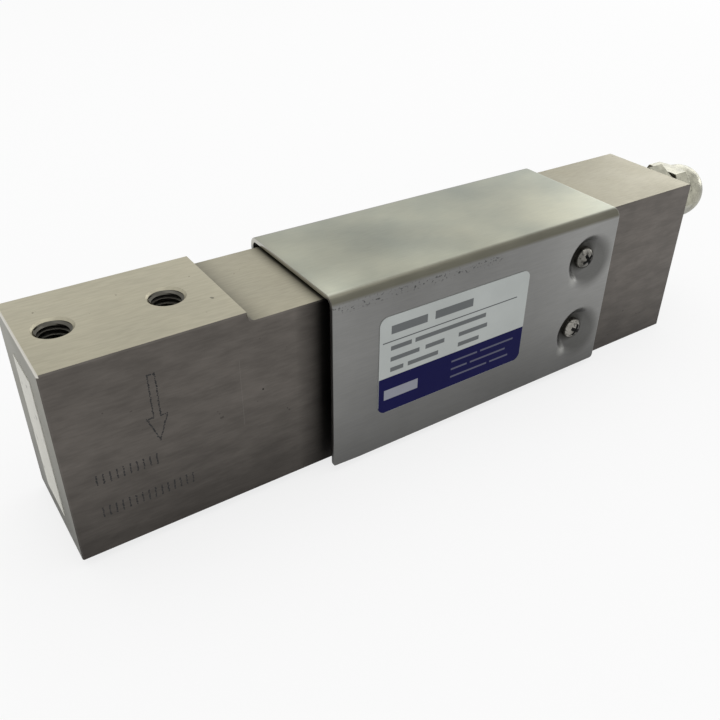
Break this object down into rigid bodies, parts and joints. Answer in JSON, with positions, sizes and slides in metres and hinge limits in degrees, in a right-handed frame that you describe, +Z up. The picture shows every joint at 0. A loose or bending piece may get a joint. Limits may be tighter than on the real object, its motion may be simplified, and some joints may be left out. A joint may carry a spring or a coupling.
{
  "type": "single point load cell",
  "caption": "Single point load cell: stepped stainless bar with threaded ends, a folded sheet cover over its flexures, and a cable gland on one end.",
  "frame": {"origin": "middle of the two threaded holes of the fixed end, on the base pad's face", "axes": "+X from the live end to the fixed end and its gland, -Y out of the side with the rating label, +Z up"},
  "size_m": [0.1673, 0.0309, 0.04],
  "materials": {
    "stainless_block": "ground and fine-milled stainless steel, matt, warm grey",
    "stainless_sheet": "satin cold-rolled stainless sheet",
    "screw_steel": "bright stainless screw",
    "gauge_foil": "amber polyimide backing with metal foil",
    "lead_ribbon": "polyimide ribbon over copper",
    "board_laminate": "glass-fibre board with green resist",
    "resistor_body": "black resistor body",
    "potting_silicone": "soft pale silicone potting",
    "gland_plating": "nickel-plated brass",
    "seal_rubber": "black nitrile rubber",
    "label_film": "white polyester label with a dark blue band",
    "label_paper": "white label stock"
  },
  "bodies": {
    "root": {"spring_element": "stainless_block", "cover": "stainless_sheet", "cover_screw_front_upper": "screw_steel", "cover_screw_front_lower": "screw_steel", "cover_screw_rear_upper": "screw_steel", "cover_screw_rear_lower": "screw_steel", "gauge_live_top": "gauge_foil", "gauge_live_bottom": "gauge_foil", "gauge_fixed_top": "gauge_foil", "gauge_fixed_bottom": "gauge_foil", "gauge_leads_live_top": "lead_ribbon", "gauge_leads_live_bottom": "lead_ribbon", "gauge_leads_fixed_top": "lead_ribbon", "gauge_leads_fixed_bottom": "lead_ribbon", "terminal_board": "board_laminate", "trim_resistor_1": "resistor_body", "trim_resistor_2": "resistor_body", "trim_resistor_3": "resistor_body", "trim_resistor_4": "resistor_body", "potting": "potting_silicone", "gland_body": "gland_plating", "gland_dome_nut": "gland_plating", "gland_seal": "seal_rubber", "rating_label": "label_film", "end_label": "label_paper"}
  },
  "joints": []
}
